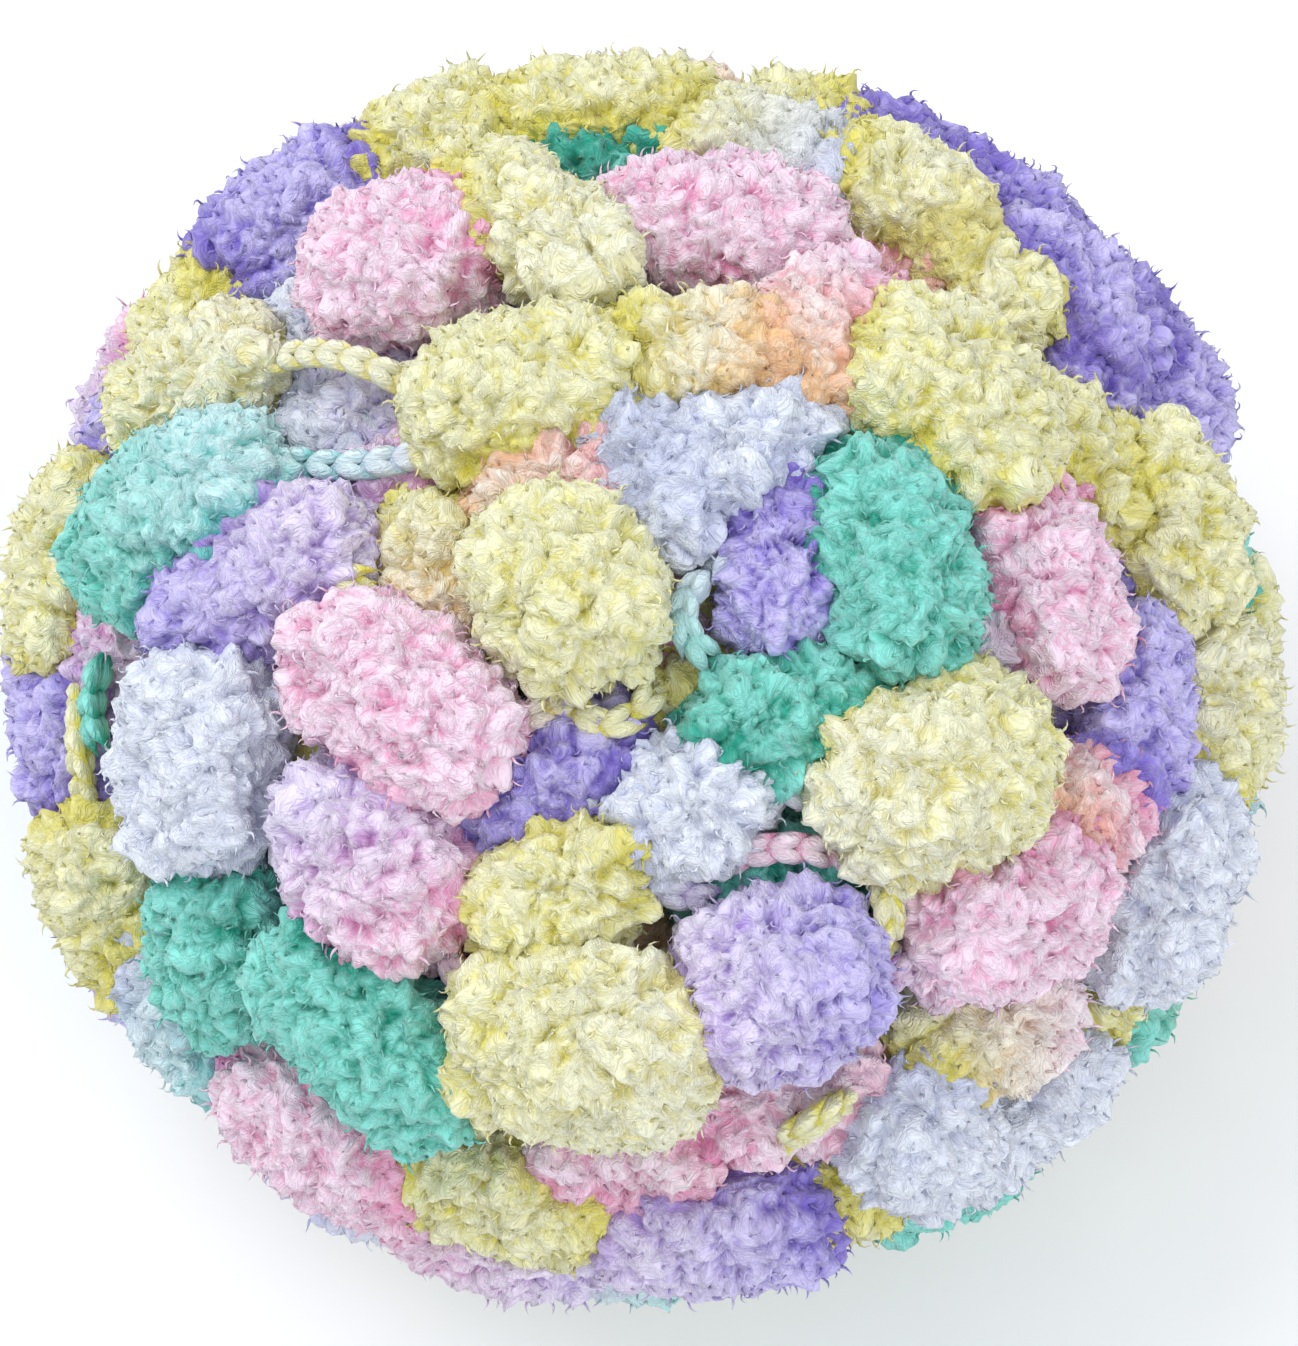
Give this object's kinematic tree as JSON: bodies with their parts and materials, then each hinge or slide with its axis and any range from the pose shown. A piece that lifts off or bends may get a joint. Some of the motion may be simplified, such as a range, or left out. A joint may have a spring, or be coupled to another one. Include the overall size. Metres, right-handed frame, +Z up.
{
  "type": "pom pom yarn ball",
  "caption": "Ball of fluffy yarn: soft pompoms of pile on a thin chain-stitched cord, wound into a rounded, slightly flattened ball that rests on a flat spot.",
  "frame": {"origin": "middle of the flat spot on which the ball rests", "axes": "+Z up from the flat spot, +X to the right and +Y away from the viewer in the picture"},
  "size_m": [0.1616, 0.1616, 0.1126],
  "materials": {
    "yarn": "soft matt crimped pile, in runs of lemon, mint, lavender, pink, peach and white"
  },
  "bodies": {
    "root": {"pompom_ball": "yarn"}
  },
  "joints": []
}
